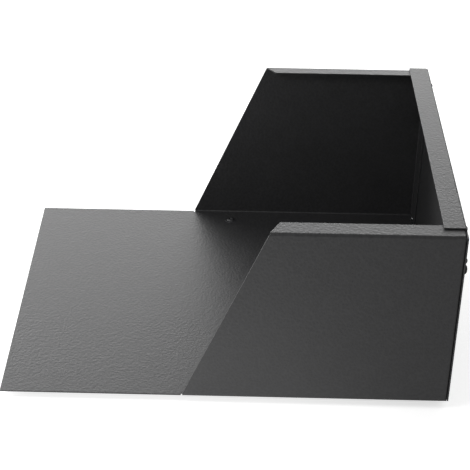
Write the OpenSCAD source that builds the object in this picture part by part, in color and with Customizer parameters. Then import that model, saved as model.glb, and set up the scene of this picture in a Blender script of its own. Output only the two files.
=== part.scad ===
// Tipping tray of a parcel drop box: a folded sheet tray with a rear panel,
// hinged along its bottom rear edge on a long pin hinge.
// X runs from the free edge of the plate to the rear panel, Y across, Z up.
// The origin is on the mounting face, in the middle of the row of fixing holes.

/* [Tray] */
// Width over the two cheeks
tray_w = 370; // [250:1:480]
// Length from the free edge of the plate to the outer face of the rear panel
tray_l = 465; // [380:1:600]
// Height of the cheeks above the plate
cheek_h = 200; // [150:1:260]
// Length of a cheek along the plate
cheek_bottom_l = 275; // [220:1:300]
// Length of a cheek along its top edge
cheek_top_l = 190; // [120:1:210]
// Sheet thickness
sheet = 1.5; // [1:0.1:1.8]
// Outer radius of every bend
bend_r = 3; // [2.4:0.1:4]
// Width of the top flange of the right cheek
flange_right_w = 21.5; // [12:0.5:28]
// Width of the top flange of the left cheek
flange_left_w = 16; // [12:0.5:28]
// How far the flange's front end is cut back at its free edge
flange_mitre = 10; // [4:1:15]
// How far the plate's side edge is set in from the cheek
plate_inset = 1.8; // [0.5:0.1:4]
// Width of the relief slot where a cheek's bend starts
relief_w = 1.6; // [1:0.1:3]

/* [Rear panel] */
// Depth of the top flange
top_flange_w = 22.5; // [14:0.5:35]
// Depth of the bottom flange
bottom_flange_w = 34; // [32:0.5:45]
// Gap between the top flange and the cheek flanges
lap_gap = 0.3; // [0.2:0.1:0.5]
// How far the top flange stops short of the right cheek
top_flange_inset = 14; // [4:1:18]
// How far the bottom flange stops short of each cheek
bottom_flange_inset = 8; // [5:1:20]

/* [Cheek tabs] */
// Width of the tab at the rear edge of a cheek
tab_w = 34; // [33:1:45]
// Height of the tab's lower edge above the plate
tab_low = 3; // [3:1:140]
// Gap between a cheek's rear edge and the rear panel
seam_gap = 0.4; // [0.3:0.1:0.8]

/* [Rear fixings] */
// Distance of the low rivet and the buffer from the outside of the cheek
fixing_inset = 9; // [9:0.5:11]
// Height of the low rivet above the plate
low_rivet_z = 168; // [166:1:170]
// Distance of the top rivet from the outside of the cheek
top_rivet_inset = 28; // [24:1:28]
// Distance of the top rivet below the cheek's top
top_rivet_drop = 7.5; // [7.5:0.5:12]
// Height of the wall buffer above the plate
wall_buffer_z = 158; // [150:1:159]
// Head radius of a wall rivet
rivet_head_r = 3.5; // [3.2:0.1:3.8]
// Head height of a wall rivet
rivet_head_h = 3; // [1.2:0.1:3]
// Radius of the wall buffer
wall_buffer_r = 5.2; // [4.5:0.1:5.6]
// Thickness of the wall buffer
wall_buffer_h = 3.4; // [2:0.1:6]

/* [Rest buffers] */
// Distance of a rest buffer behind the front of the cheek
rest_buffer_back = 45; // [30:1:90]
// Distance of a rest buffer from the outside of the cheek
rest_buffer_inset = 22.5; // [20:0.5:45]
// Radius of a rest buffer where it meets the plate
rest_buffer_r = 10; // [9:0.5:14]
// How much narrower the buffer's foot is
rest_buffer_taper = 2; // [0.5:0.1:2]
// Head radius of the buffer screw
screw_head_r = 5.25; // [5:0.05:6]
// Radius of the flange under the screw's head
screw_flange_r = 6.8; // [6.2:0.1:8]
// Head height of the buffer screw
screw_head_h = 3.3; // [2.5:0.1:4]
// Thread radius of the buffer screw
screw_r = 3; // [2.5:0.5:3]

/* [Hinge] */
// Length of the hinge
hinge_l = 308; // [200:4:320]
// Number of knuckles, odd
knuckle_count = 11; // [5:2:15]
// Radius of a knuckle
knuckle_r = 3.6; // [3.5:0.1:4.5]
// Radius of the pin
pin_r = 2; // [1.5:0.1:2]
// Width of a leaf from the pin's axis
leaf_w = 30; // [28:0.5:32]
// Distance of the fixing holes from the pin's axis
hole_back = 20; // [16:0.5:22]
// Radius of a fixing hole
fixing_hole_r = 2.25; // [1.6:0.05:2.75]
// Number of hinge rivets
hinge_rivet_count = 6; // [4:2:8]
// Radius of a rivet's shank
shank_r = 2; // [1.5:0.1:2.4]

/* [Hidden] */
// Fits and small clearances
pin_clear = 0.08;
hole_clear = 0.1;
knuckle_gap = 0.4;
knuckle_lift = 0.3;
leaf_clear = 0.5;
cut = 1;
arc_steps = 6;
round_fn = 96;
hex_fn = 6;

// Levels, from the mounting face up
pin_z = knuckle_r + knuckle_lift;
leaf_top = 2 * pin_z;
plate_bottom = leaf_top + sheet;
plate_top = plate_bottom + sheet;
cheek_top = plate_top + cheek_h;
panel_top = cheek_top + lap_gap + sheet;

// Stations along X
pin_inset = knuckle_r + 1;
pin_x = hole_back;
panel_x = pin_x + pin_inset;
seat_x = panel_x - sheet;
free_x = panel_x - tray_l;
front_x = panel_x - cheek_bottom_l;
top_front_x = panel_x - cheek_top_l;
cheek_rear_x = seat_x - seam_gap;
half_w = tray_w / 2;
plate_half_w = half_w - plate_inset;

// Rear fixings
tab_high = cheek_top - sheet - 2;
rivet_tail_r = 2.7;
rivet_tail_h = 2.2;
mandrel_r = 1;
mandrel_depth = 0.8;
wall_shank_r = 1.6;
stem_r = 2.4;
lip_r = 3.6;
lip_h = 1.5;
wall_grip = 2 * sheet;

// Rest buffers
buffer_x = front_x + rest_buffer_back;
buffer_y = half_w - rest_buffer_inset;
screw_end_z = 0.8;
nut_af = screw_r * 10 / 3;
nut_h = screw_r * 5 / 3;
washer_r = 2 * screw_r;
washer_h = 1.6;
washer_top = screw_end_z + nut_h + washer_h;
screw_flange_h = 0.8;
recess_clear = 0.3;
socket_af = screw_r * 4 / 3;
socket_depth = 2;

// Hinge
knuckle_pitch = (hinge_l + knuckle_gap) / knuckle_count;
knuckle_l = knuckle_pitch - knuckle_gap;
leaf_edge_x = pin_x - knuckle_r - leaf_clear;
bore_r = pin_r + pin_clear;
fixing_pitch = hinge_l / 3.3;
rivet_pitch = (hinge_l - 28) / (hinge_rivet_count - 1);
hinge_rivet_x = pin_x - hole_back / 2;
hinge_grip = 3 * sheet;
hinge_head_r = 2 * shank_r;
hinge_head_h = 1.4;
hinge_tail_r = 1.45 * shank_r;
hinge_tail_h = 2.4;

// Points of an arc, from one angle to another
function arc(x, y, r, from, to) =
    [for (i = [0:arc_steps]) let (a = from + (to - from) * i / arc_steps)
        [x + r * cos(a), y + r * sin(a)]];

// A profile drawn in Y and Z, carried along X
module along_x(from, to) {
    translate([from, 0, 0]) rotate([90, 0, 90]) linear_extrude(to - from) children();
}

// A profile drawn in X and Z, carried along Y
module along_y(from, to) {
    translate([0, to, 0]) rotate([90, 0, 0]) linear_extrude(to - from) children();
}

// A box given by its lowest and highest corners
module block(low, high) {
    translate(low) cube(high - low);
}

// What is at the right side (-Y) for side = -1 and at the left for side = 1
module at_side(side) {
    if (side < 0) children();
    else mirror([0, 1, 0]) children();
}

// A round head, domed upward from z = 0
module dome(r, h) {
    ball_r = (r * r + h * h) / (2 * h);
    intersection() {
        translate([0, 0, h - ball_r]) sphere(ball_r, $fn = round_fn);
        cylinder(r = r + cut, h = h + cut, $fn = round_fn);
    }
}

// A hexagon across flats
module hexagon(af, h) {
    cylinder(r = af / 2 / cos(30), h = h, $fn = hex_fn);
}

// A set blind rivet: its head above z = 0, its tail below the grip
module rivet(head_r, head_h, body_r, grip, tail_r, tail_h) {
    difference() {
        union() {
            dome(head_r, head_h);
            translate([0, 0, -grip]) cylinder(r = body_r, h = grip, $fn = round_fn);
            translate([0, 0, -grip - tail_h]) cylinder(r = tail_r, h = tail_h, $fn = round_fn);
        }
        translate([0, 0, head_h - mandrel_depth])
            cylinder(r = mandrel_r, h = mandrel_depth + cut, $fn = round_fn);
    }
}

// Section of the folded pan: a flange, a cheek, the plate, a cheek, a flange
module pan_section() {
    y = half_w - bend_r;
    low = plate_bottom + bend_r;
    high = cheek_top - bend_r;
    inner = bend_r - sheet;
    polygon(concat(
        [[-half_w + flange_right_w, cheek_top]],
        arc(-y, high, bend_r, 90, 180),
        arc(-y, low, bend_r, 180, 270),
        arc(y, low, bend_r, 270, 360),
        arc(y, high, bend_r, 0, 90),
        [[half_w - flange_left_w, cheek_top]],
        [[half_w - flange_left_w, cheek_top - sheet]],
        arc(y, high, inner, 90, 0),
        arc(y, low, inner, 360, 270),
        arc(-y, low, inner, 270, 180),
        arc(-y, high, inner, 180, 90),
        [[-half_w + flange_right_w, cheek_top - sheet]]));
}

// The wedge of air in front of the slanted cheek edges
module front_slant() {
    along_y(-half_w - cut, half_w + cut)
        polygon([
            [front_x - cut, plate_bottom + bend_r],
            [front_x, plate_bottom + bend_r],
            [top_front_x, cheek_top],
            [top_front_x, cheek_top + cut],
            [front_x - cut, cheek_top + cut]]);
}

// The corner cut off the front end of the right cheek's flange
module mitre_cut(flange_w) {
    edge_y = -half_w + flange_w;
    translate([0, 0, cheek_top - sheet - cut])
        linear_extrude(sheet + 2 * cut)
            polygon([
                [top_front_x - cut, -half_w + bend_r],
                [top_front_x, -half_w + bend_r],
                [top_front_x + flange_mitre, edge_y],
                [top_front_x + flange_mitre, edge_y + cut],
                [top_front_x - cut, edge_y + cut]]);
}

// Tab at the rear of the right cheek
module cheek_tab() {
    block([seat_x - sheet, -half_w, plate_top + tab_low], [seat_x, -half_w + tab_w, tab_high]);
}

// Holes for the right side's rivets and wall buffer
module rear_holes() {
    for (h = [
        [fixing_inset, plate_top + low_rivet_z, wall_shank_r],
        [top_rivet_inset, cheek_top - top_rivet_drop, wall_shank_r],
        [fixing_inset, plate_top + wall_buffer_z, stem_r]])
        translate([seat_x - sheet - cut, -half_w + h[0], h[1]])
            rotate([0, 90, 0]) cylinder(r = h[2] + hole_clear, h = wall_grip + 2 * cut, $fn = round_fn);
}

// Places along the hinge rivets
module each_hinge_rivet() {
    for (i = [0:hinge_rivet_count - 1])
        translate([hinge_rivet_x, (i - (hinge_rivet_count - 1) / 2) * rivet_pitch, 0]) children();
}

module hinge_rivet_holes() {
    each_hinge_rivet()
        translate([0, 0, pin_z]) cylinder(r = shank_r + hole_clear, h = plate_top - pin_z + cut, $fn = round_fn);
}

// Room in the pan for the bends of the rear panel
module rear_reliefs() {
    bend_x = panel_x - bend_r;
    flange_y = half_w - bottom_flange_inset + seam_gap;
    block([bend_x, -flange_y, plate_bottom - cut], [panel_x, flange_y, plate_top + cut]);
    block([bend_x, -half_w - cut, cheek_top - bend_r], [panel_x, half_w + cut, cheek_top + cut]);
}

module tray_pan() {
    color("#4a4a4c") difference() {
        union() {
            along_x(front_x, cheek_rear_x) pan_section();
            block([free_x, -plate_half_w, plate_bottom], [front_x, plate_half_w, plate_top]);
            for (side = [-1, 1]) at_side(side) cheek_tab();
        }
        front_slant();
        rear_reliefs();
        mitre_cut(flange_right_w);
        at_side(1) mitre_cut(flange_left_w);
        for (side = [-1, 1]) at_side(side) {
            rear_holes();
            block([front_x - relief_w, -half_w, plate_bottom - cut],
                [front_x, -half_w + bend_r + cut, plate_top + cut]);
            translate([buffer_x, -buffer_y, plate_bottom - cut])
                cylinder(r = screw_r + recess_clear, h = sheet + 2 * cut, $fn = round_fn);
        }
        hinge_rivet_holes();
    }
}

// Section of the rear panel: a flange, the wall, a flange
module panel_section() {
    x = panel_x - bend_r;
    low = leaf_top + bend_r;
    high = panel_top - bend_r;
    inner = bend_r - sheet;
    polygon(concat(
        [[panel_x - bottom_flange_w, leaf_top]],
        arc(x, low, bend_r, 270, 360),
        arc(x, high, bend_r, 0, 90),
        [[panel_x - top_flange_w, panel_top]],
        [[panel_x - top_flange_w, panel_top - sheet]],
        arc(x, high, inner, 90, 0),
        arc(x, low, inner, 360, 270),
        [[panel_x - bottom_flange_w, plate_bottom]]));
}

module rear_panel() {
    inset_y = half_w - bottom_flange_inset;
    color("#4a4a4c") difference() {
        along_y(-half_w, half_w) panel_section();
        block([panel_x - top_flange_w - cut, -half_w - cut, panel_top - bend_r],
            [panel_x + cut, -half_w + top_flange_inset, panel_top + cut]);
        for (side = [-1, 1]) at_side(side) {
            block([panel_x - bottom_flange_w - cut, -half_w - cut, leaf_top - cut],
                [panel_x + cut, -inset_y, leaf_top + bend_r]);
            rear_holes();
        }
        hinge_rivet_holes();
    }
}

// A rivet in the rear panel, its head outside
module wall_rivet(side, inset, z) {
    color("#2c2c2e") at_side(side)
        translate([panel_x, -half_w + inset, z]) rotate([0, 90, 0])
            rivet(rivet_head_r, rivet_head_h, wall_shank_r, wall_grip, rivet_tail_r, rivet_tail_h);
}

module low_rivet_right() { wall_rivet(-1, fixing_inset, plate_top + low_rivet_z); }
module low_rivet_left() { wall_rivet(1, fixing_inset, plate_top + low_rivet_z); }
module top_rivet_right() { wall_rivet(-1, top_rivet_inset, cheek_top - top_rivet_drop); }
module top_rivet_left() { wall_rivet(1, top_rivet_inset, cheek_top - top_rivet_drop); }

// A snap-in rubber buffer: a cushion outside, a stem, and a lip inside
module wall_buffer(side) {
    color("#1c1c1c") at_side(side)
        translate([panel_x, -half_w + fixing_inset, plate_top + wall_buffer_z]) rotate([0, 90, 0]) {
            dome(wall_buffer_r, wall_buffer_h);
            translate([0, 0, -wall_grip]) cylinder(r = stem_r, h = wall_grip, $fn = round_fn);
            translate([0, 0, -wall_grip - lip_h])
                cylinder(r1 = stem_r, r2 = lip_r, h = lip_h, $fn = round_fn);
        }
}

module wall_buffer_right() { wall_buffer(-1); }
module wall_buffer_left() { wall_buffer(1); }

// A rubber foot under the plate, hollow from below for its nut
module rest_buffer(side) {
    recess_h = washer_top;
    color("#1c1c1c") at_side(side) translate([buffer_x, -buffer_y, 0]) difference() {
        cylinder(r1 = rest_buffer_r - rest_buffer_taper, r2 = rest_buffer_r, h = plate_bottom, $fn = round_fn);
        translate([0, 0, -cut]) cylinder(r = washer_r + recess_clear, h = recess_h + cut, $fn = round_fn);
        translate([0, 0, -cut]) cylinder(r = screw_r + hole_clear, h = plate_bottom + 2 * cut, $fn = round_fn);
    }
}

module rest_buffer_right() { rest_buffer(-1); }
module rest_buffer_left() { rest_buffer(1); }

// A flanged button-head screw with a hexagon socket
module buffer_screw(side) {
    color("#3a3a3c") at_side(side) translate([buffer_x, -buffer_y, 0]) difference() {
        union() {
            translate([0, 0, plate_top]) dome(screw_head_r, screw_head_h);
            translate([0, 0, plate_top]) cylinder(r = screw_flange_r, h = screw_flange_h, $fn = round_fn);
            translate([0, 0, screw_end_z]) cylinder(r = screw_r, h = plate_top - screw_end_z, $fn = round_fn);
        }
        translate([0, 0, plate_top + screw_head_h - socket_depth]) hexagon(socket_af, socket_depth + cut);
    }
}

module buffer_screw_right() { buffer_screw(-1); }
module buffer_screw_left() { buffer_screw(1); }

module buffer_washer(side) {
    color("silver") at_side(side) translate([buffer_x, -buffer_y, washer_top - washer_h]) difference() {
        cylinder(r = washer_r, h = washer_h, $fn = round_fn);
        translate([0, 0, -cut]) cylinder(r = screw_r + hole_clear, h = washer_h + 2 * cut, $fn = round_fn);
    }
}

module buffer_washer_right() { buffer_washer(-1); }
module buffer_washer_left() { buffer_washer(1); }

module buffer_nut(side) {
    color("silver") at_side(side) translate([buffer_x, -buffer_y, screw_end_z]) difference() {
        hexagon(nut_af, nut_h);
        translate([0, 0, -cut]) cylinder(r = screw_r + pin_clear, h = nut_h + 2 * cut, $fn = round_fn);
    }
}

module buffer_nut_right() { buffer_nut(-1); }
module buffer_nut_left() { buffer_nut(1); }

module hinge_rivets() {
    color("silver") each_hinge_rivet() translate([0, 0, plate_top])
        rivet(hinge_head_r, hinge_head_h, shank_r, hinge_grip, hinge_tail_r, hinge_tail_h);
}

// One hinge leaf, flat at the bottom, with every second knuckle from the first
module leaf(first) {
    difference() {
        union() {
            block([pin_x - leaf_w, -hinge_l / 2, 0], [leaf_edge_x, hinge_l / 2, sheet]);
            for (i = [first:2:knuckle_count - 1]) {
                y = -hinge_l / 2 + i * knuckle_pitch;
                block([leaf_edge_x, y, 0], [pin_x, y + knuckle_l, sheet]);
                translate([pin_x, y + knuckle_l, pin_z]) rotate([90, 0, 0])
                    cylinder(r = knuckle_r, h = knuckle_l, $fn = round_fn);
            }
        }
        translate([pin_x, hinge_l / 2 + cut, pin_z]) rotate([90, 0, 0])
            cylinder(r = bore_r, h = hinge_l + 2 * cut, $fn = round_fn);
    }
}

module hinge_tray_leaf() {
    color("silver") difference() {
        translate([0, 0, leaf_top]) mirror([0, 0, 1]) leaf(1);
        hinge_rivet_holes();
    }
}

module hinge_box_leaf() {
    color("silver") difference() {
        leaf(0);
        for (i = [-1.5:1:1.5])
            translate([0, i * fixing_pitch, -cut])
                cylinder(r = fixing_hole_r, h = sheet + 2 * cut, $fn = round_fn);
    }
}

module hinge_pin() {
    color("silver") translate([pin_x, hinge_l / 2, pin_z]) rotate([90, 0, 0])
        cylinder(r = pin_r, h = hinge_l, $fn = round_fn);
}

tray_pan();
rear_panel();
low_rivet_right();
low_rivet_left();
top_rivet_right();
top_rivet_left();
wall_buffer_right();
wall_buffer_left();
rest_buffer_right();
rest_buffer_left();
buffer_screw_right();
buffer_screw_left();
buffer_washer_right();
buffer_washer_left();
buffer_nut_right();
buffer_nut_left();
hinge_rivets();
hinge_tray_leaf();
hinge_box_leaf();
hinge_pin();
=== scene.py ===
"""Folded, coated tray of a parcel drop box, dressed around its fixed frame.

Every sheet is one outer face laid out on a grid, given its thickness and soft
edges by modifiers. Every fastener and buffer is a profile turned about its axis.
"""

import math

import bmesh
import bpy
import numpy as np
from bpy.props import FloatProperty, FloatVectorProperty, IntProperty, PointerProperty
from mathutils import Matrix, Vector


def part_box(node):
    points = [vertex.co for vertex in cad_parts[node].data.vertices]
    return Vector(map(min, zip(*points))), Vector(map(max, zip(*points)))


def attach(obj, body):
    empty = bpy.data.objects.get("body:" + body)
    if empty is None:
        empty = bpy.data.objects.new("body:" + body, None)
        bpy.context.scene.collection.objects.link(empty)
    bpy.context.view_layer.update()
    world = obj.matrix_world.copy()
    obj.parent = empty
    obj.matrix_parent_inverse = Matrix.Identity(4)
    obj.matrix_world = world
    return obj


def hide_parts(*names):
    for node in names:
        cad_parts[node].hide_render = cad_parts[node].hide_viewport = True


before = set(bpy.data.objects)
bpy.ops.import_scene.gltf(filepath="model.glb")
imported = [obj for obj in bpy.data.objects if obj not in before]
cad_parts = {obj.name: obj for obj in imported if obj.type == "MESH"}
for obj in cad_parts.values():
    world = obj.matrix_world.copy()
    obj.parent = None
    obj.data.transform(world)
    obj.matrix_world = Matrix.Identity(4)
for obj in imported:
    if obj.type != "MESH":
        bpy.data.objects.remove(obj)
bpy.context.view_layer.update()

bl_info = {
    "name": "Drop Box Tray",
    "version": (1, 0, 0),
    "blender": (4, 5, 0),
    "location": "View3D > Sidebar > Drop Box",
    "description": "Dresses the folded tray of a parcel drop box and its fixings",
    "category": "Object",
}

MM = 0.001
BEND_STEPS = 12
TURN_STEPS = 72
SUPPORT = 0.6 * MM
WELD = 1e-6
WALL_LINES = (0.15, 0.08)
HINGE_RIVETS = 6
FLOOR_REACH = 12.0
FLOOR_LEVEL = -0.6 * MM

PAN_LOW, PAN_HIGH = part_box("tray_pan")
PANEL_LOW, PANEL_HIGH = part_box("rear_panel")
PIN_LOW, PIN_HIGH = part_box("hinge_pin")
PIN_X = (PIN_LOW.x + PIN_HIGH.x) / 2
PIN_Z = (PIN_LOW.z + PIN_HIGH.z) / 2
HINGE_HALF = PIN_HIGH.y


# ---------------------------------------------------------------- sizes


def length(name, millimetres, description):
    """A length property whose default is given in millimetres."""
    return FloatProperty(
        name=name,
        description=description,
        default=millimetres * MM,
        min=0.0,
        unit="LENGTH",
        precision=4,
    )


def colour(name, shade, description):
    """A colour property with three linear parts."""
    return FloatVectorProperty(
        name=name,
        description=description,
        default=shade,
        min=0.0,
        max=1.0,
        size=3,
        subtype="COLOR",
    )


def share(name, value, description):
    """A property from 0 to 1."""
    return FloatProperty(
        name=name,
        description=description,
        default=value,
        min=0.0,
        max=1.0,
        subtype="FACTOR",
    )


def watts(name, power, description):
    """The power of a lamp, in watts."""
    return FloatProperty(name=name, description=description, default=power, min=0.0)


class SheetSizes(bpy.types.PropertyGroup):
    """Sizes of the folded sheets that their boxes alone don't give."""

    sheet: length("Sheet", 1.5, "Thickness of the sheet")
    bend: length("Bend", 3.0, "Outer radius of a bend")
    soften: length("Edge", 0.22, "Rounding of a cut edge")
    cheek_bottom: length("Cheek foot", 275, "Length of a cheek along the plate")
    cheek_top: length("Cheek top", 190, "Length of a cheek along its top")
    flange_right: length("Right flange", 21.5, "Width of the right cheek's flange")
    flange_left: length("Left flange", 16.0, "Width of the left cheek's flange")
    flange_mitre: length("Mitre", 10.0, "Cut back of a flange at its free edge")
    plate_inset: length("Plate inset", 1.8, "Plate edge set in from the cheek")
    relief: length("Relief", 1.6, "Width of the slot in front of a cheek")
    relief_reach: length("Relief reach", 1.0, "Slot depth past the bend")
    seam: length("Seam", 0.4, "Gap between a cheek and the rear panel")
    tab: length("Tab", 34.0, "Width of a cheek's rear tab")
    tab_low: length("Tab foot", 3.0, "Tab's lower edge above the plate")
    tab_top: length("Tab head", 3.5, "Tab's upper edge below the flange")
    tab_corner: length("Tab corner", 4.0, "Chamfer of a tab's free corners")
    top_flange: length("Top flange", 22.5, "Depth of the panel's top flange")
    top_inset: length("Top inset", 14.0, "Top flange short of the right cheek")
    bottom_inset: length("Bottom inset", 8.0, "Bottom flange short of a cheek")


class HingeSizes(bpy.types.PropertyGroup):
    """Sizes of the pin hinge."""

    knuckles: IntProperty(
        name="Knuckles",
        description="Number of knuckles",
        default=11,
        min=3,
    )
    knuckle: length("Knuckle", 3.6, "Outer radius of a knuckle")
    gap: length("Gap", 0.4, "Gap between two knuckles")
    clear: length("Clearance", 0.5, "Leaf edge short of the other knuckles")
    curl: FloatProperty(
        name="Curl",
        description="Angle that the rolled sheet turns round the pin",
        default=math.radians(292),
        subtype="ANGLE",
    )
    hole: length("Fixing hole", 2.25, "Radius of a fixing hole")
    hole_pitch: length("Hole pitch", 308 / 3.3, "Distance between fixing holes")


class FixingSizes(bpy.types.PropertyGroup):
    """Sizes inside the fixings, which their boxes don't give."""

    wall_shank: length("Wall shank", 1.6, "Shank radius of a wall rivet")
    wall_tail: length("Wall tail", 2.7, "Tail radius of a wall rivet")
    hinge_shank: length("Hinge shank", 2.0, "Shank radius of a hinge rivet")
    hinge_tail: length("Hinge tail", 2.9, "Tail radius of a hinge rivet")
    hinge_grip: length("Hinge grip", 4.5, "Sheets held by a hinge rivet")
    mandrel: length("Mandrel", 1.0, "Radius of the hole a mandrel leaves")
    stem: length("Stem", 2.4, "Stem radius of a wall buffer")
    lip: length("Lip", 3.6, "Lip radius of a wall buffer")
    foot_taper: length("Taper", 2.0, "Narrowing of a rest buffer at its foot")
    recess: length("Recess", 6.3, "Radius of the recess in a rest buffer")
    screw: length("Thread", 3.0, "Thread radius of a buffer screw")
    screw_head: length("Head", 5.25, "Radius of a buffer screw's button head")
    screw_flange: length("Flange", 0.8, "Thickness of the flange under the head")
    screw_head_high: length("Head height", 3.3, "Head height of a buffer screw")
    socket: length("Socket", 2.0, "Half the socket across its flats")


class FinishLook(bpy.types.PropertyGroup):
    """Colours and roughnesses of the finishes."""

    coat: colour("Coat", (0.030, 0.030, 0.031), "Powder coat on the sheets")
    coat_rough: share("Coat roughness", 0.43, "Roughness of the powder coat")
    grain: length("Grain", 2.9, "Width of one pebble of the coat")
    grain_high: length("Grain height", 0.30, "Height of the pebbles")
    black: colour("Black", (0.022, 0.022, 0.024), "Blackened fixings")
    zinc: colour("Zinc", (0.56, 0.57, 0.60), "Zinc on nuts, washers and rivets")
    steel: colour("Steel", (0.44, 0.44, 0.45), "Rolled steel of the hinge")
    rubber: colour("Rubber", (0.016, 0.016, 0.016), "Rubber of the buffers")


class StudioSetup(bpy.types.PropertyGroup):
    """Camera, lights and floor."""

    place: FloatVectorProperty(
        name="Camera place",
        description="Where the camera stands",
        default=(-0.1980, -1.2944, 0.9096),
        size=3,
        subtype="TRANSLATION",
    )
    azimuth: FloatProperty(
        name="Azimuth",
        description="Turn of the camera about the upright",
        default=math.radians(0.9),
        subtype="ANGLE",
    )
    elevation: FloatProperty(
        name="Elevation",
        description="How far the camera looks down",
        default=math.radians(32.94),
        subtype="ANGLE",
    )
    roll: FloatProperty(
        name="Roll",
        description="Turn of the camera about its own axis",
        default=math.radians(0.7),
        subtype="ANGLE",
    )
    lens: FloatProperty(
        name="Lens",
        description="Focal length in millimetres on a 36 mm sensor",
        default=105.05,
    )
    shift: FloatVectorProperty(
        name="Shift",
        description="Sideways and upward shift of the lens",
        default=(0.0367, 0.0324),
        size=2,
    )
    back_light: watts("Back light", 51.0, "Long soft light low behind the tray")
    high_light: watts("High light", 23.5, "Long soft light high behind the tray")
    left_light: watts("Left light", 46.0, "Soft light behind the free edge")
    near_light: watts("Near light", 4.5, "Small soft light hung in front of the cheek")
    backdrop: share("Backdrop", 0.96, "Brightness that the room shows behind the tray")
    room: FloatProperty(
        name="Room",
        description="Strength of the even light from all round",
        default=0.34,
        min=0.0,
    )
    floor: colour("Floor", (0.86, 0.86, 0.86), "Pale floor")
    glow: share("Glow", 0.76, "Brightness of the floor's own light beside the tray")
    dim: share("Dim glow", 0.60, "Brightness that the floor shows elsewhere")
    glow_core: length("Glow core", 60, "Radius of the fully lit floor")
    glow_reach: length("Glow reach", 420, "Radius where the floor's light ends")
    glow_place: FloatVectorProperty(
        name="Glow place",
        description="Middle of the lit floor",
        default=(-0.30, -0.20),
        size=2,
        subtype="XYZ",
    )


# ---------------------------------------------------------------- surfaces


def arc(centre, radius, start, end, steps=BEND_STEPS):
    """Points of an arc: the centre plus the radius times cosine and sine of the angle."""
    angle = np.radians(np.linspace(start, end, steps + 1))
    return np.stack(
        [centre[0] + radius * np.cos(angle), centre[1] + radius * np.sin(angle)], axis=1
    )


def eased(corners, ease, steps=5, closed=False):
    """A profile with rounded corners: start (1-t)^2 + corner 2t(1-t) + end t^2 at each one.

    Start and end lie on the two sides of the corner, at the ease distance from it
    or at 0.45 of a shorter side.
    """
    corners = np.asarray(corners, float)
    ease = np.broadcast_to(np.asarray(ease, float), len(corners))
    before = np.roll(corners, 1, axis=0) - corners
    after = np.roll(corners, -1, axis=0) - corners
    t = np.linspace(0, 1, steps)[None, :, None]
    ends = []
    for side in (before, after):
        size = np.linalg.norm(side, axis=1)
        reach = np.minimum(ease, 0.45 * size) / np.maximum(size, WELD)
        ends.append(corners + side * reach[:, None])
    start, end = ends[0][:, None], ends[1][:, None]
    curves = start * (1 - t) ** 2 + corners[:, None] * 2 * t * (1 - t) + end * t**2
    if closed:
        points = curves.reshape(-1, 2)
        return np.concatenate([points, points[:1]])
    inside = curves[1:-1].reshape(-1, 2)
    return np.concatenate([corners[:1], inside, corners[-1:]])


def quads(rows, columns, keep=None):
    """Faces between neighbouring points of a grid, for the cells that are kept."""
    point = np.arange(rows * columns).reshape(rows, columns)
    cells = np.stack(
        [point[:-1, :-1], point[1:, :-1], point[1:, 1:], point[:-1, 1:]], axis=-1
    )
    return cells.reshape(-1, 4) if keep is None else cells[keep]


def patch(grid, keep=None):
    """Points and faces of a grid of points."""
    rows, columns = grid.shape[:2]
    return grid.reshape(-1, 3), quads(rows, columns, keep)


def mirrored(part):
    """A patch on the other side of the tray, its faces turned to point outwards."""
    points, faces = part
    return points * [1, -1, 1], faces[:, ::-1]


def joined(name, patches, closed=False):
    """One smooth mesh object of several patches, welded where they meet."""
    counts = np.cumsum([0] + [len(points) for points, _ in patches])
    points = np.concatenate([points for points, _ in patches])
    faces = np.concatenate(
        [part + start for (_, part), start in zip(patches, counts, strict=False)]
    )
    used, faces = np.unique(faces, return_inverse=True)
    mesh = bpy.data.meshes.new(name)
    mesh.from_pydata(points[used].tolist(), [], faces.reshape(-1, 4).tolist())
    shell = bmesh.new()
    shell.from_mesh(mesh)
    bmesh.ops.remove_doubles(shell, verts=shell.verts, dist=WELD)
    if closed:
        bmesh.ops.recalc_face_normals(shell, faces=shell.faces)
    shell.to_mesh(mesh)
    shell.free()
    mesh.polygons.foreach_set("use_smooth", np.ones(len(mesh.polygons), bool))
    mesh.update()
    made = bpy.data.objects.new(name, mesh)
    bpy.context.scene.collection.objects.link(made)
    return made


def flat_faces_kept(made):
    """Lets large faces set the shading, so that flat sheet shades flat up to its bends."""
    weighted = made.modifiers.new("flat_faces", "WEIGHTED_NORMAL")
    weighted.mode = "FACE_AREA"
    weighted.weight = 80


def thickened(made, sheet, soften, offset=-1.0):
    """Gives an outer face its sheet thickness and softly rounded cut edges."""
    solid = made.modifiers.new("sheet", "SOLIDIFY")
    solid.thickness = sheet
    solid.offset = offset
    solid.use_even_offset = True
    solid.use_quality_normals = True
    edge = made.modifiers.new("cut_edges", "BEVEL")
    edge.width = soften
    edge.segments = 3
    edge.limit_method = "ANGLE"
    edge.angle_limit = math.radians(55)
    flat_faces_kept(made)


def turned(profile, hexed=None):
    """A profile of radii and heights turned about the upright axis.

    x, y = r cos a, r sin a. Where a point is hexed, its radius is half the width
    across flats and is divided by the cosine of the angle from the nearest flat.
    """
    profile = np.asarray(profile, float)
    hexed = np.zeros(len(profile)) if hexed is None else np.asarray(hexed, float)
    angle = np.linspace(0, 2 * np.pi, TURN_STEPS + 1)
    flat = np.mod(angle + np.pi / 6, np.pi / 3) - np.pi / 6
    stretch = 1 + hexed[:, None] * (1 / np.cos(flat)[None, :] - 1)
    radius = profile[:, 0, None] * stretch
    height = np.broadcast_to(profile[:, 1, None], radius.shape)
    return np.stack([radius * np.cos(angle), radius * np.sin(angle), height], axis=-1)


def facing_rear(grid, place):
    """A turned shape laid over so that its top points to the rear, along X."""
    return np.stack([grid[..., 2], grid[..., 1], -grid[..., 0]], axis=-1) + place


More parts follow.
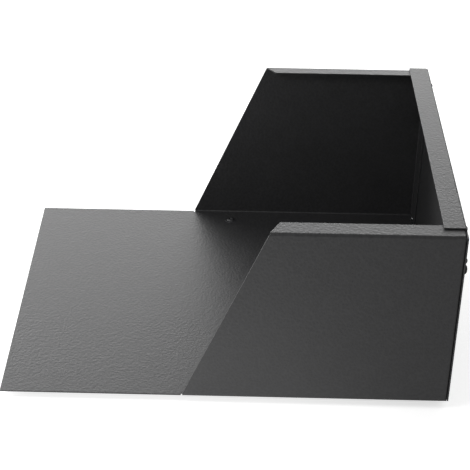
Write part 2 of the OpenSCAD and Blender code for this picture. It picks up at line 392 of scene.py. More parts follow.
def dome(radius, high, steps=14):
    """A low round head: a circle's arc from its top out to its rim."""
    ball = (radius**2 + high**2) / (2 * high)
    angle = np.linspace(0, math.asin(radius / ball), steps)
    return np.stack([ball * np.sin(angle), high - ball + ball * np.cos(angle)], axis=1)


# ---------------------------------------------------------------- finishes


class Wire:
    """A value on its way through a finish. Arithmetic on it adds Math nodes."""

    def __init__(self, finish, socket):
        self.finish = finish
        self.socket = socket

    def math(self, operation, *values):
        node = self.finish.node(
            "ShaderNodeMath", {"operation": operation}, dict(enumerate(values))
        )
        return Wire(self.finish, node.outputs[0])

    def __add__(self, other):
        return self.math("ADD", self, other)

    def __sub__(self, other):
        return self.math("SUBTRACT", self, other)

    def __rsub__(self, other):
        return self.math("SUBTRACT", other, self)

    def __mul__(self, other):
        return self.math("MULTIPLY", self, other)

    def __pow__(self, other):
        return self.math("POWER", self, other)

    __radd__ = __add__
    __rmul__ = __mul__


class Finish:
    """A material on one Principled shader, with its nodes added in order."""

    def __init__(self, name, **fixed):
        self.material = bpy.data.materials.new(name)
        self.material.use_nodes = True
        self.tree = self.material.node_tree
        self.tree.nodes.clear()
        self.shader = self.node("ShaderNodeBsdfPrincipled", {}, fixed)
        self.node(
            "ShaderNodeOutputMaterial", {}, {"Surface": self.wire(self.shader, "BSDF")}
        )
        place = self.node("ShaderNodeTexCoord")
        self.place = self.wire(place, "Object")

    def node(self, kind, settings=None, sockets=None):
        """Adds a node, makes its settings, then gives its sockets values or links."""
        made = self.tree.nodes.new(kind)
        for name, value in (settings or {}).items():
            setattr(made, name, value)
        for name, value in (sockets or {}).items():
            if isinstance(value, Wire):
                self.tree.links.new(value.socket, made.inputs[name])
            else:
                made.inputs[name].default_value = value
        return made

    def wire(self, node, name=0):
        return Wire(self, node.outputs[name])

    def stretched(self, scale):
        """Object coordinates with a scale for each axis."""
        mapping = self.node(
            "ShaderNodeMapping", {}, {"Vector": self.place, "Scale": scale}
        )
        return self.wire(mapping)

    def axes(self):
        """The three object coordinates as values, in metres."""
        split = self.node("ShaderNodeSeparateXYZ", {}, {"Vector": self.place})
        return [self.wire(split, name) for name in ("X", "Y", "Z")]

    def noise(self, width, detail=2.0, rough=0.5, place=None):
        """Cloudy noise from 0 to 1 whose lumps are about as wide as given, in metres."""
        node = self.node(
            "ShaderNodeTexNoise",
            {"noise_dimensions": "3D"},
            {
                "Vector": place or self.place,
                "Scale": 1 / width,
                "Detail": detail,
                "Roughness": rough,
            },
        )
        return self.wire(node, "Fac")

    def pebbles(self, width):
        """Distance to the nearest of scattered points, smoothed, as rounded pebbles."""
        node = self.node(
            "ShaderNodeTexVoronoi",
            {"feature": "SMOOTH_F1"},
            {"Vector": self.place, "Scale": 1 / width, "Smoothness": 0.6},
        )
        return self.wire(node, "Distance")

    def band(self, value, start, end):
        """Rises smoothly from 0 at start to 1 at end."""
        node = self.node(
            "ShaderNodeMapRange",
            {"interpolation_type": "SMOOTHSTEP", "clamp": True},
            {"Value": value, "From Min": start, "From Max": end},
        )
        return self.wire(node)

    def blend(self, amount, first, second):
        """A colour that goes from the first to the second as amount goes from 0 to 1."""
        node = self.node(
            "ShaderNodeMix",
            {"data_type": "RGBA", "clamp_factor": True},
            {0: amount, 6: first, 7: second},
        )
        return self.wire(node, 2)

    def give(self, **values):
        """Feeds the shader's own sockets."""
        for name, value in values.items():
            self.tree.links.new(
                value.socket, self.shader.inputs[name.replace("_", " ")]
            )
        return self.material

    def bump(self, height, high, strength=1.0):
        """A normal bent by a height from 0 to 1, high metres tall."""
        node = self.node(
            "ShaderNodeBump",
            {},
            {"Height": height, "Distance": high, "Strength": strength},
        )
        return self.wire(node)


def shade(colour_value, factor=1.0):
    """A colour with four parts, lightened or darkened by a factor."""
    return tuple(min(1.0, part * factor) for part in colour_value[:3]) + (1.0,)


def powder_coat(look):
    """Pebbled dark powder coat, painted paler in patches along the plate's free edge, as rubbed
    wear and a painted edge highlight.
    """
    finish = Finish("powder_coat", IOR=1.5)
    x, _, _ = finish.axes()
    pebble = finish.pebbles(look.grain)
    fine = finish.noise(look.grain * 0.45, 2.0)
    drift = finish.noise(60 * MM, 3.0)
    cloud = finish.noise(14 * MM, 2.0)
    texture = pebble * 0.7 + fine * 0.3
    edge_noise = finish.noise(4 * MM, 3.0)
    # Paler patches within 1.1 mm of the plate's free edge: rubbed wear and a painted highlight
    # on the edge.
    front = 1 - finish.band(x - PAN_LOW.x, 0.0, 1.1 * MM)
    wear_and_highlight = front * finish.band(edge_noise, 0.35, 0.65) * 0.5
    tone = drift * 0.25 + cloud * 0.15 + texture * 0.6
    base = finish.blend(tone, shade(look.coat, 0.45), shade(look.coat, 1.65))
    base = finish.blend(wear_and_highlight, base, shade(look.coat, 2.4))
    rough = look.coat_rough - 0.06 + drift * 0.06 + texture * 0.10 - wear_and_highlight * 0.1
    height = texture + drift * 0.5
    return finish.give(
        Base_Color=base,
        Roughness=rough,
        Normal=finish.bump(height, look.grain_high),
    )


def blackened(look):
    """Oiled black finish of screws and rivets, worn a little on high spots."""
    finish = Finish("blackened_steel", Metallic=0.0, IOR=1.6)
    speck = finish.noise(0.5 * MM, 4.0)
    haze = finish.noise(2.5 * MM, 2.0)
    base = finish.blend(
        finish.band(speck, 0.35, 0.75), shade(look.black, 0.75), shade(look.black, 1.9)
    )
    return finish.give(
        Base_Color=base,
        Roughness=0.26 + haze * 0.16 + speck * 0.06,
        Normal=finish.bump(speck, 0.006 * MM),
    )


def zinc_plate(look):
    """Bright zinc with small crystals and a faint yellow haze."""
    finish = Finish("zinc_plate", Metallic=1.0)
    crystal = finish.pebbles(0.8 * MM)
    haze = finish.noise(3.0 * MM, 3.0)
    warm = (look.zinc[0] * 1.02, look.zinc[1] * 0.95, look.zinc[2] * 0.80, 1.0)
    base = finish.blend(finish.band(haze, 0.45, 0.8) * 0.5, shade(look.zinc), warm)
    base = finish.blend(crystal * 0.35, base, shade(look.zinc, 0.6))
    return finish.give(
        Base_Color=base,
        Roughness=0.24 + haze * 0.16 + crystal * 0.08,
        Normal=finish.bump(crystal + haze, 0.006 * MM),
    )


def rolled_steel(look):
    """Rolled hinge steel, streaked along its length, with oil haze."""
    finish = Finish("rolled_steel", Metallic=1.0)
    streak = finish.noise(1.0, 4.0, 0.6, finish.stretched((1400, 26, 1400)))
    haze = finish.noise(11 * MM, 3.0)
    base = finish.blend(streak, shade(look.steel, 0.78), shade(look.steel, 1.15))
    base = finish.blend(
        finish.band(haze, 0.5, 0.8) * 0.3, base, shade((0.30, 0.27, 0.23))
    )
    return finish.give(
        Base_Color=base,
        Roughness=0.30 + streak * 0.14 + haze * 0.10,
        Normal=finish.bump(streak + haze * 0.4, 0.010 * MM),
    )


def moulded_rubber(look):
    """Dull moulded rubber with a fine skin and dusty bloom."""
    finish = Finish("moulded_rubber", **{"Specular IOR Level": 0.3})
    skin = finish.noise(0.35 * MM, 3.0)
    bloom = finish.noise(5 * MM, 4.0)
    dust = finish.band(bloom, 0.48, 0.78) * 0.4
    base = finish.blend(skin, shade(look.rubber, 0.8), shade(look.rubber, 1.3))
    base = finish.blend(dust, base, shade((0.055, 0.053, 0.050)))
    return finish.give(
        Base_Color=base,
        Roughness=0.62 + dust * 0.5 + skin * 0.10,
        Normal=finish.bump(skin, 0.02 * MM),
    )


def studio_floor(setup):
    """Matt pale floor, lit softly from within around the tray as a light table is.

    The camera sees it a little brighter than it lights the tray, so it stays pale far out.
    """
    fixed = {"Specular IOR Level": 0.1, "Emission Strength": 1.0}
    finish = Finish("studio_floor", **fixed)
    x, y, _ = finish.axes()
    along, across = x - setup.glow_place[0], y - setup.glow_place[1]
    away = (along * along + across * across) ** 0.5
    pool = 1 - finish.band(away, setup.glow_core, setup.glow_reach)
    tooth = finish.noise(3 * MM, 2.0)
    base = finish.blend(tooth, shade(setup.floor, 0.99), shade(setup.floor, 1.0))
    white = (1.0, 1.0, 1.0)
    cast = finish.blend(pool, shade(white, 0), shade(white, setup.glow))
    seen = finish.blend(pool, shade(white, setup.dim), shade(white, setup.glow))
    straight = finish.wire(finish.node("ShaderNodeLightPath"), "Is Camera Ray")
    return finish.give(
        Base_Color=base,
        Roughness=0.9 + tooth * 0.05,
        Emission_Color=finish.blend(straight, cast, seen),
    )


FINISHES = {
    "coated_sheet": powder_coat,
    "black_fixings": blackened,
    "zinc_fixings": zinc_plate,
    "hinge_steel": rolled_steel,
    "rubber": moulded_rubber,
}


def finished(made, node, slot, body="tray"):
    """Gives a piece its finish, and lets it stand for its node on the node's body."""
    look = bpy.context.scene.tray_finish
    name = FINISHES[slot].__name__
    found = [m for m in bpy.data.materials if m.get("tray_finish") == name]
    material = found[0] if found else FINISHES[slot](look)
    material["tray_finish"] = name
    made.data.materials.clear()
    made.data.materials.append(material)
    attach(made, body)
    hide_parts(node)


# ---------------------------------------------------------------- sheets


def tab_levels(sizes):
    """Heights of a cheek tab's corners, from its top to its foot, with two between."""
    foot = PAN_LOW.z + sizes.sheet + sizes.tab_low
    head = PAN_HIGH.z - sizes.tab_top
    between = np.linspace(head - sizes.tab_corner, foot + sizes.tab_corner, 4)
    return np.concatenate([[head], between, [foot]])


def pan_side(sizes, flange):
    """Section of the right half of the pan's outer face, from its flange to the plate."""
    half, base, top, bend = PAN_HIGH.y, PAN_LOW.z, PAN_HIGH.z, sizes.bend
    y, low, high = half - bend, base + bend, top - bend
    levels = np.append(tab_levels(sizes), low + SUPPORT)
    notch = half - sizes.bottom_inset
    return np.concatenate(
        [
            [[-half + flange, top], [-y + SUPPORT, top]],
            arc((-y, high), bend, 90, 180),
            [[-half, level] for level in levels],
            arc((-y, low), bend, 180, 270),
            [[-y + sizes.relief_reach, base]],
            [[-notch - sizes.seam - SUPPORT, base], [-notch - sizes.seam, base]],
        ]
    )


def folded_pan(sizes):
    """Outer face of the pan: its section in Y and Z, carried along X.

    A section point runs from its front, x = cheek front + (height share) (top front
    - cheek front) + (flange share) mitre, back to the rear edge. The plate alone
    runs on to its free edge. Each cheek's rear edge turns into a tab on an arc.
    """
    half, base, top, bend = PAN_HIGH.y, PAN_LOW.z, PAN_HIGH.z, sizes.bend
    rear, fold = PANEL_HIGH.x, PAN_HIGH.x - bend
    y, low = half - bend, base + bend
    right = pan_side(sizes, sizes.flange_right)
    left = pan_side(sizes, sizes.flange_left)[::-1] * [-1, 1]
    middle = np.stack([np.linspace(right[-1, 0], left[0, 0], 9)[1:-1]] * 2, axis=1)
    middle[:, 1] = base
    section = np.concatenate([right, middle, left])
    sy, sz = section[:, 0], section[:, 1]
    front_x, top_front_x = rear - sizes.cheek_bottom, rear - sizes.cheek_top
    flange = np.where(sy < 0, sizes.flange_right, sizes.flange_left)
    share_up = np.clip((sz - low) / (top - low), 0, 1)
    share_in = np.clip((y - np.abs(sy)) / (flange - bend), 0, 1) * (sz > top - WELD)
    front = front_x + share_up * (top_front_x - front_x) + share_in * sizes.flange_mitre
    notch = half - sizes.bottom_inset + sizes.seam
    tucked = (sz > top - bend - WELD) | ((sz < base + WELD) & (np.abs(sy) < notch + WELD))
    end = np.where(tucked, rear - bend, PAN_HIGH.x - sizes.seam)
    along = np.array([0, 0.002, 0.2, 0.4, 0.6, 0.8, 0.997, 1.0])
    body = front[:, None] + along * (fold - front)[:, None]
    free = np.tile([PAN_LOW.x, front_x - sizes.relief], (len(section), 1))
    x = np.concatenate([free, body, end[:, None]], axis=1)
    grid = np.stack(
        [x, np.tile(sy[:, None], x.shape[1]), np.tile(sz[:, None], x.shape[1])], axis=-1
    )
    row_y, row_z = (sy[1:] + sy[:-1]) / 2, (sz[1:] + sz[:-1]) / 2
    core = (np.abs(row_y) < y - sizes.relief_reach) & (row_z < base + WELD)
    level = tab_levels(sizes)
    at_tab = (np.abs(row_y) > half - WELD) & (row_z > level[-1]) & (row_z < level[0])
    keep = np.ones((len(section) - 1, x.shape[1] - 1), bool)
    keep[~core, :2] = False
    keep[at_tab, -1] = False

    edge_y = np.array([-(half - sizes.plate_inset), -(y - sizes.relief_reach)])
    strip_x, strip_y = np.meshgrid([PAN_LOW.x, front_x - sizes.relief], edge_y)
    strip = np.stack([strip_x, strip_y, np.full_like(strip_x, base)], axis=-1)

    turn = arc((fold, y), bend, 90, 0)
    inset = np.isin(level, level[[0, -1]]) * sizes.tab_corner
    tab_x = np.tile(np.append(turn[:, 0], [PAN_HIGH.x] * 2), (len(level), 1))
    tab_y = np.tile(np.append(-turn[:, 1], [0, 0]), (len(level), 1))
    tab_y[:, -2] = -y + SUPPORT
    tab_y[:, -1] = -half + sizes.tab - inset
    tab = np.stack([tab_x, tab_y, np.tile(level[:, None], tab_x.shape[1])], axis=-1)
    parts = [patch(grid, keep), patch(strip), patch(tab)]
    return parts + [mirrored(patch(strip)), mirrored(patch(tab))]


def folded_panel(sizes):
    """Outer face of the rear panel: its section in X and Z, carried along Y.

    The wall runs over the whole width, and each flange with its bend stops short.
    """
    half, bend = PANEL_HIGH.y, sizes.bend
    x, low, high = PANEL_HIGH.x - bend, PANEL_LOW.z + bend, PANEL_HIGH.z - bend
    section = np.concatenate(
        [
            [[PANEL_HIGH.x - sizes.top_flange, PANEL_HIGH.z]],
            [[x - SUPPORT, PANEL_HIGH.z]],
            arc((x, high), bend, 90, 0),
            [[PANEL_HIGH.x, level] for level in (high - SUPPORT, *WALL_LINES)],
            [[PANEL_HIGH.x, low + SUPPORT]],
            arc((x, low), bend, 0, -90),
            [[x - SUPPORT, PANEL_LOW.z], [PANEL_LOW.x, PANEL_LOW.z]],
        ]
    )
    bottom, right_end = half - sizes.bottom_inset, -half + sizes.top_inset
    width = [-half, -bottom, right_end, -0.1, 0.0, 0.1, bottom, half]
    sx, sz = section[:, 0], section[:, 1]
    grid = np.stack(np.broadcast_arrays(sx[:, None], width, sz[:, None]), axis=-1)
    row_z = ((sz[1:] + sz[:-1]) / 2)[:, None]
    middle = (np.array(width[1:]) + width[:-1]) / 2
    keep = (row_z < high) | (middle > right_end)
    keep &= (row_z > low) | (np.abs(middle) < bottom)
    return [patch(grid, keep)]


class TRAY_OT_pan(bpy.types.Operator):
    """Folds the pan: plate, two cheeks, their top flanges and rear tabs"""

    bl_idname = "tray.pan"
    bl_label = "Tray pan"

    def execute(self, context):
        sizes = context.scene.tray_sheet
        pan = joined("tray_pan_skin", folded_pan(sizes))
        thickened(pan, sizes.sheet, sizes.soften)
        finished(pan, "tray_pan", "coated_sheet")
        return {"FINISHED"}


class TRAY_OT_panel(bpy.types.Operator):
    """Folds the rear panel: wall, top flange and bottom flange"""

    bl_idname = "tray.rear_panel"
    bl_label = "Rear panel"

    def execute(self, context):
        sizes = context.scene.tray_sheet
        panel = joined("rear_panel_skin", folded_panel(sizes))
        thickened(panel, sizes.sheet, sizes.soften)
        finished(panel, "rear_panel", "coated_sheet")
        return {"FINISHED"}


# ---------------------------------------------------------------- fixings


def blind_rivet(radius, high, shank, grip, tail, tail_high, mandrel):
    """A set blind rivet: a thin-rimmed dome with a mandrel hole, a shank and a bulb."""
    head = dome(radius - 0.15 * MM, high - 0.35 * MM)
    head[:, 1] += 0.35 * MM
    outside = head[head[:, 0] > mandrel * 1.25]
    top = np.interp(mandrel, head[:, 0], head[:, 1])
    hole = eased(
        [
            [0, top - 0.8 * MM],
            [mandrel * 0.9, top - 0.7 * MM],
            [mandrel, top - 0.1 * MM],
            outside[0],
        ],
        0.1 * MM,
    )
    rim = eased(
        [
            outside[-1],
            [radius, 0.3 * MM],
            [radius, 0],
            [shank, 0],
            [shank, -grip],
            [tail * 0.9, -grip],
            [tail, -grip - tail_high * 0.45],
            [tail * 0.72, -grip - tail_high * 0.9],
            [mandrel * 0.8, -grip - tail_high],
            [0, -grip - tail_high],
        ],
        [0, 0.2 * MM, 0.1 * MM, 0, 0, 0.5 * MM, 0.7 * MM, 0.4 * MM, 0.1 * MM, 0],
    )
    return turned(np.concatenate([hole[:-1], outside, rim[1:]]))


class TRAY_OT_wall_rivets(bpy.types.Operator):
    """Sets the four rivets that hold the rear panel to the cheek tabs"""

    bl_idname = "tray.wall_rivets"
    bl_label = "Wall rivets"

    def execute(self, context):
        sizes, sheets = context.scene.tray_fixing, context.scene.tray_sheet
        for node in ("low_rivet_right", "low_rivet_left", "top_rivet_right", "top_rivet_left"):
            low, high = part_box(node)
            middle = (low + high) / 2
            grip = 2 * sheets.sheet
            shape = blind_rivet(
                (high.y - low.y) / 2,
                high.x - PANEL_HIGH.x,
                sizes.wall_shank,
                grip,
                sizes.wall_tail,
                PANEL_HIGH.x - grip - low.x,
                sizes.mandrel,
            )
            grid = facing_rear(shape, (PANEL_HIGH.x, middle.y, middle.z))
            made = joined(node + "_skin", [patch(grid)], closed=True)
            flat_faces_kept(made)
            finished(made, node, "black_fixings")
        return {"FINISHED"}


class TRAY_OT_wall_buffers(bpy.types.Operator):
    """Snaps the two rubber buffers into the rear panel"""

    bl_idname = "tray.wall_buffers"
    bl_label = "Wall buffers"

    def execute(self, context):
        sizes, sheets = context.scene.tray_fixing, context.scene.tray_sheet
        grip = 2 * sheets.sheet
        for node in ("wall_buffer_right", "wall_buffer_left"):
            low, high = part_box(node)
            middle = (low + high) / 2
            radius, proud = (high.y - low.y) / 2, high.x - PANEL_HIGH.x
            end = low.x - PANEL_HIGH.x
            profile = eased(
                [
                    [0, proud],
                    [radius * 0.55, proud * 0.97],
                    [radius * 0.92, proud * 0.55],
                    [radius, 0.5 * MM],
                    [radius, 0],
                    [sizes.stem, 0],
                    [sizes.stem, -grip],
                    [sizes.lip, -grip],
                    [sizes.stem, end],
                    [0, end],
                ],
                [0, 1.2 * MM, 1.2 * MM, 0.2 * MM, 0.15 * MM, 0, 0, 0.2 * MM, 0.4 * MM, 0],
            )
            grid = facing_rear(turned(profile), (PANEL_HIGH.x, middle.y, middle.z))
            made = joined(node + "_skin", [patch(grid)], closed=True)
            flat_faces_kept(made)
            finished(made, node, "rubber")
        return {"FINISHED"}


class TRAY_OT_rest_buffers(bpy.types.Operator):
    """Moulds the two rubber feet under the plate"""

    bl_idname = "tray.rest_buffers"
    bl_label = "Rest buffers"

    def execute(self, context):
        sizes = context.scene.tray_fixing
        for side in ("right", "left"):
            low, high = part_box("rest_buffer_" + side)
            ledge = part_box("buffer_washer_" + side)[1].z
            middle = (low + high) / 2
            radius, tall = (high.x - low.x) / 2, high.z - low.z
            foot, bore = radius - sizes.foot_taper, sizes.screw + 0.1 * MM
            groove = radius - sizes.foot_taper * 0.28
            profile = eased(
                [
                    [bore, tall],
                    [radius, tall],
                    [radius, tall - 1.6 * MM],
                    [groove - 0.35 * MM, tall - 2.1 * MM],
                    [foot, 0],
                    [sizes.recess, 0],
                    [sizes.recess, ledge],
                    [bore, ledge],
                ],
                [0, 0.5 * MM, 0.3 * MM, 0.3 * MM, 1.0 * MM, 0.5 * MM, 0.3 * MM, 0],
                closed=True,
            )
            grid = turned(profile) + (middle.x, middle.y, low.z)
            made = joined("rest_buffer_" + side + "_skin", [patch(grid)], closed=True)
            flat_faces_kept(made)
            finished(made, "rest_buffer_" + side, "rubber")
        return {"FINISHED"}


def button_screw(sizes, tall, reach):
    """A flanged button head with a hexagon socket and a shank, from its tip at z = 0.

    tall is the whole screw's height, and reach the radius of its flange.
    """
    radius, high, flange = sizes.screw_head, sizes.screw_head_high, sizes.screw_flange
    seat = tall - high
    head = dome(radius, high)
    head[:, 1] += seat
    mouth = sizes.socket * 1.28
    outside = head[(head[:, 0] > mouth * 1.06) & (head[:, 1] > seat + flange + 0.3 * MM)]
    top = np.interp(mouth, head[:, 0], head[:, 1])
    inner = np.array(
        [
            [0, top - 2.3 * MM],
            [sizes.socket * 0.85, top - 1.75 * MM],
            [sizes.socket, top - 1.65 * MM],
            [sizes.socket, top - 0.30 * MM],
            [sizes.socket * 1.02, top - 0.22 * MM],
            [mouth, top - 0.03 * MM],
        ]
    )
    rim = eased(
        [
            outside[-1],
            [radius * 0.985, seat + flange + 0.05 * MM],
            [reach - 0.2 * MM, seat + flange - 0.1 * MM],
            [reach, seat + 0.4 * MM],
            [reach, seat],
            [sizes.screw, seat],
            [sizes.screw, 0.6 * MM],
            [sizes.screw - 0.6 * MM, 0],
            [0, 0],
        ],
        np.array([0, 0.25, 0.2, 0.15, 0.1, 0.1, 0.15, 0.15, 0]) * MM,
    )
    profile = np.concatenate([inner, outside, rim[1:]])
    hexed = np.zeros(len(profile))
    hexed[1:5] = 1
    return turned(profile, hexed)


class TRAY_OT_buffer_screws(bpy.types.Operator):
    """Turns the screw, washer and nut of each rest buffer"""

    bl_idname = "tray.buffer_screws"
    bl_label = "Buffer screws"

    def execute(self, context):
        sizes = context.scene.tray_fixing
        for side in ("right", "left"):
            low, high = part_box("buffer_screw_" + side)
            x, y = (low.x + high.x) / 2, (low.y + high.y) / 2
            screw = button_screw(sizes, high.z - low.z, (high.x - low.x) / 2)
            shapes = {"buffer_screw_": (screw, "black_fixings")}
            low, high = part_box("buffer_washer_" + side)
            thick, outer = high.z - low.z, (high.x - low.x) / 2
            bore = sizes.screw + 0.1 * MM
            ring = [[bore, thick], [outer, thick], [outer, 0], [bore, 0]]
            ring = eased(ring, [0.1 * MM, 0.35 * MM, 0.2 * MM, 0.1 * MM], closed=True)
            shapes["buffer_washer_"] = (turned(ring), "zinc_fixings")
            low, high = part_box("buffer_nut_" + side)
            tall, flat = high.z - low.z, (high.y - low.y) / 2
            bore, rise = sizes.screw + 0.08 * MM, 0.45 * MM
            ring = np.array(
                [
                    [bore + 0.4 * MM, tall],
                    [flat * 0.95, tall],
                    [flat, tall - rise],
                    [flat, rise],
                    [flat * 0.95, 0],
                    [bore + 0.4 * MM, 0],
                    [bore, 0.4 * MM],
                    [bore, tall - 0.4 * MM],
                    [bore + 0.4 * MM, tall],
                ]
            )
            shapes["buffer_nut_"] = (
                turned(ring, [0, 0, 1, 1, 0, 0, 0, 0, 0]),
                "zinc_fixings",
            )
            for stem, (shape, slot) in shapes.items():
                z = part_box(stem + side)[0].z
                made = joined(stem + side + "_skin", [patch(shape + (x, y, z))], closed=True)
                flat_faces_kept(made)
                finished(made, stem + side, slot)
        return {"FINISHED"}


# ---------------------------------------------------------------- hinge


def hinge_leaf(sizes, sheet, first, holes):
    """Middle face of a hinge leaf: flat, then rolled round the pin at its own knuckles.

    The section runs along X and then round the pin on a circle. Grid lines on the
    square round a hole are moved along their rays onto the hole's circle.
    """
    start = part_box("hinge_box_leaf")[0].x
    edge = PIN_X - sizes.knuckle - sizes.clear
    roll = sizes.knuckle - sheet / 2
    turn = -90 + math.degrees(sizes.curl) * np.linspace(0, 1, 25)
    curl = np.stack(
        [PIN_X + roll * np.cos(np.radians(turn)), PIN_Z + roll * np.sin(np.radians(turn))],
        axis=1,
    )
    square = np.append(np.linspace(-1, 1, 9), [-2, 2]) * sizes.hole
    flat_x = np.unique(np.round(np.concatenate([[start], square, [edge]]), 7))
    flat = np.stack([flat_x, np.full_like(flat_x, sheet / 2)], axis=1)
    section = np.concatenate([flat, [[edge + 1.0 * MM, sheet / 2]], curl])
    pitch = (2 * HINGE_HALF + sizes.gap) / sizes.knuckles
    starts = -HINGE_HALF + np.arange(sizes.knuckles) * pitch
    ends = starts + pitch - sizes.gap
    around = [hole + square for hole in holes]
    width = np.unique(np.round(np.concatenate([starts, ends, *around]), 7))
    px = np.repeat(section[:, 0, None], len(width), axis=1)
    pz = np.repeat(section[:, 1, None], len(width), axis=1)
    py = np.repeat(width[None, :], len(section), axis=0)
    row = ((section[1:, 0] + section[:-1, 0]) / 2)[:, None]
    is_flat = (np.arange(len(section) - 1) < len(flat) - 1)[:, None]
    middle = (width[1:] + width[:-1]) / 2
    own = np.any(
        (middle[None] > starts[first::2, None]) & (middle[None] < ends[first::2, None]),
        axis=0,
    )
    keep = is_flat | own[None, :]
    for hole in holes:
        away = np.maximum(np.abs(px), np.abs(py - hole))
        inside = (away < sizes.hole + WELD) & (pz < sheet)
        ray = np.hypot(px, py - hole)
        pull = np.where(inside & (ray > WELD), away / np.maximum(ray, WELD), 1)
        px, py = px * pull, hole + (py - hole) * pull
        keep &= ~(is_flat & (np.abs(row) < sizes.hole) & (np.abs(middle - hole) < sizes.hole))
    return patch(np.stack([px, py, pz], axis=-1)[:, ::-1], keep[:, ::-1])


class TRAY_OT_hinge(bpy.types.Operator):
    """Rolls the two hinge leaves and sets the pin and the hinge rivets"""

    bl_idname = "tray.hinge"
    bl_label = "Hinge"

    def execute(self, context):
        scene = context.scene
        sizes, fixing, sheet = scene.tray_hinge, scene.tray_fixing, scene.tray_sheet.sheet
        holes = (np.arange(4) - 1.5) * sizes.hole_pitch
        box_leaf = joined("hinge_box_leaf_skin", [hinge_leaf(sizes, sheet, 0, holes)])
        thickened(box_leaf, sheet, 0.2 * MM, 0.0)
        finished(box_leaf, "hinge_box_leaf", "hinge_steel", "box_side")

        points, faces = hinge_leaf(sizes, sheet, 1, ())
        points = points * [1, 1, -1] + [0, 0, 2 * PIN_Z]
        tray_leaf = joined("hinge_tray_leaf_skin", [(points, faces[:, ::-1])])
        thickened(tray_leaf, sheet, 0.2 * MM, 0.0)
        finished(tray_leaf, "hinge_tray_leaf", "hinge_steel")

        radius = (PIN_HIGH.x - PIN_LOW.x) / 2
        tall = 2 * HINGE_HALF
        ends = [[0, tall], [radius, tall], [radius, 0], [0, 0]]
        grid = turned(eased(ends, [0, 0.5 * MM, 0.5 * MM, 0]))
        grid = np.stack([grid[..., 0], grid[..., 2] - HINGE_HALF, grid[..., 1]], axis=-1)
        pin = joined("hinge_pin_skin", [patch(grid + (PIN_X, 0, PIN_Z))], closed=True)
        flat_faces_kept(pin)
        finished(pin, "hinge_pin", "hinge_steel", "box_side")

        low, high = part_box("hinge_rivets")
        head = (high.x - low.x) / 2
        seat = PAN_LOW.z + sheet
        shape = blind_rivet(
            head,
            high.z - seat,
            fixing.hinge_shank,
            fixing.hinge_grip,
            fixing.hinge_tail,
            seat - fixing.hinge_grip - low.z,
            fixing.mandrel,
        )
        x = (low.x + high.x) / 2
        row = np.linspace(low.y + head, high.y - head, HINGE_RIVETS)
        set_rivets = [patch(shape + (x, y, seat)) for y in row]
        rivets = joined("hinge_rivets_skin", set_rivets, closed=True)
        flat_faces_kept(rivets)
        finished(rivets, "hinge_rivets", "zinc_fixings")
        return {"FINISHED"}


# ---------------------------------------------------------------- studio


def soft_light(name, place, target, size, watts):
    """A rectangular soft light at a place, turned towards a target."""
    lamp = bpy.data.lights.new(name, "AREA")
    lamp.shape = "RECTANGLE"
    lamp.size, lamp.size_y = size
    lamp.energy = watts
    made = bpy.data.objects.new(name, lamp)
    away = np.array(place, float) - np.array(target, float)
    away /= np.linalg.norm(away)
    side = np.cross([0, 0, 1], away)
    side = side / np.linalg.norm(side) if np.linalg.norm(side) > WELD else np.array([1.0, 0, 0])
    up = np.cross(away, side)
    turn = np.eye(4)
    turn[:3, 0], turn[:3, 1], turn[:3, 2], turn[:3, 3] = side, up, away, place
    made.matrix_world = Matrix(turn.tolist())
    made.visible_camera = False
    bpy.context.scene.collection.objects.link(made)


def pale_room(setup):
    """An even light from all round, which shows behind the tray as a pale backdrop."""
    world = bpy.data.worlds.new("studio_room")
    world.use_nodes = True
    nodes, links = world.node_tree.nodes, world.node_tree.links
    background = nodes["Background"]
    background.inputs["Color"].default_value = (1, 1, 1, 1)
    paths = nodes.new("ShaderNodeLightPath")
    strength = nodes.new("ShaderNodeMapRange")
    strength.inputs["To Min"].default_value = setup.room
    strength.inputs["To Max"].default_value = setup.backdrop
    links.new(paths.outputs["Is Camera Ray"], strength.inputs["Value"])
    links.new(strength.outputs[0], background.inputs["Strength"])
    return world


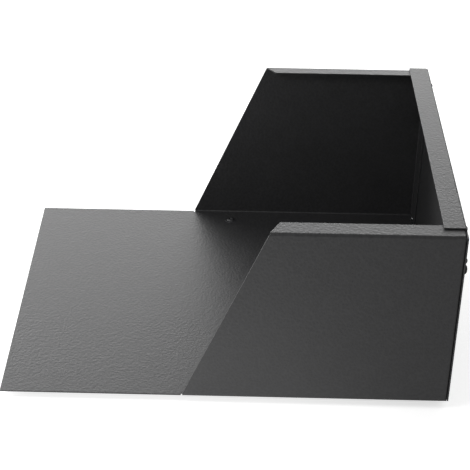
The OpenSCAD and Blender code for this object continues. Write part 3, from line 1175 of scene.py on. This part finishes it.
class TRAY_OT_studio(bpy.types.Operator):
    """Lays the pale floor, hangs the soft lights and places the camera"""

    bl_idname = "tray.studio"
    bl_label = "Studio"

    def execute(self, context):
        scene = context.scene
        setup = scene.tray_studio
        reach = np.array([-1.0, 1.0]) * FLOOR_REACH
        x, y = np.meshgrid(reach, reach, indexing="ij")
        sheet = np.stack([x, y, np.full_like(x, FLOOR_LEVEL)], axis=-1)
        floor = joined("floor", [patch(sheet)])
        floor.data.materials.append(studio_floor(setup))

        middle, below = (-0.2, 0.0, 0.08), (-0.749, -0.399, 0.0)
        soft_light("back_light", (-0.3, 2.8, 0.7), middle, (3.2, 1.0), setup.back_light)
        soft_light("high_light", (-0.3, 2.4, 1.7), middle, (3.2, 1.2), setup.high_light)
        soft_light("left_light", (-2.0, 2.0, 1.0), middle, (1.6, 1.4), setup.left_light)
        soft_light("near_light", (-0.75, -0.4, 0.8), below, (0.5, 0.3), setup.near_light)

        scene.world = pale_room(setup)
        scene.view_settings.view_transform = "Standard"

        lens = bpy.data.cameras.new("camera")
        lens.sensor_width = 36
        lens.lens = setup.lens
        lens.shift_x, lens.shift_y = setup.shift
        camera = bpy.data.objects.new("camera", lens)
        camera.matrix_world = (
            Matrix.Translation(setup.place)
            @ Matrix.Rotation(setup.azimuth, 4, "Z")
            @ Matrix.Rotation(math.pi / 2 - setup.elevation, 4, "X")
            @ Matrix.Rotation(setup.roll, 4, "Z")
        )
        scene.collection.objects.link(camera)
        scene.camera = camera
        return {"FINISHED"}


# ---------------------------------------------------------------- sidebar


OPERATORS = (
    TRAY_OT_pan,
    TRAY_OT_panel,
    TRAY_OT_wall_rivets,
    TRAY_OT_wall_buffers,
    TRAY_OT_rest_buffers,
    TRAY_OT_buffer_screws,
    TRAY_OT_hinge,
    TRAY_OT_studio,
)
GROUPS = {
    "tray_sheet": SheetSizes,
    "tray_hinge": HingeSizes,
    "tray_fixing": FixingSizes,
    "tray_finish": FinishLook,
    "tray_studio": StudioSetup,
}


class TRAY_PT_sidebar(bpy.types.Panel):
    """Lists the sizes and the pieces"""

    bl_label = "Drop Box Tray"
    bl_idname = "TRAY_PT_sidebar"
    bl_space_type = "VIEW_3D"
    bl_region_type = "UI"
    bl_category = "Drop Box"

    def draw(self, context):
        for name, group in GROUPS.items():
            box = self.layout.box()
            for size in group.__annotations__:
                box.prop(getattr(context.scene, name), size)
        for operator in OPERATORS:
            self.layout.operator(operator.bl_idname)


def register():
    """Registers the sizes, the operators and the sidebar panel."""
    for cls in (*GROUPS.values(), *OPERATORS, TRAY_PT_sidebar):
        bpy.utils.register_class(cls)
    for name, group in GROUPS.items():
        setattr(bpy.types.Scene, name, PointerProperty(type=group))


def unregister():
    """Takes away what register added."""
    for name in GROUPS:
        delattr(bpy.types.Scene, name)
    for cls in (TRAY_PT_sidebar, *reversed(OPERATORS), *reversed(GROUPS.values())):
        bpy.utils.unregister_class(cls)


def main():
    """Builds every piece in order."""
    register()
    bpy.ops.tray.pan()
    bpy.ops.tray.rear_panel()
    bpy.ops.tray.wall_rivets()
    bpy.ops.tray.wall_buffers()
    bpy.ops.tray.rest_buffers()
    bpy.ops.tray.buffer_screws()
    bpy.ops.tray.hinge()
    bpy.ops.tray.studio()


if __name__ == "__main__":
    main()
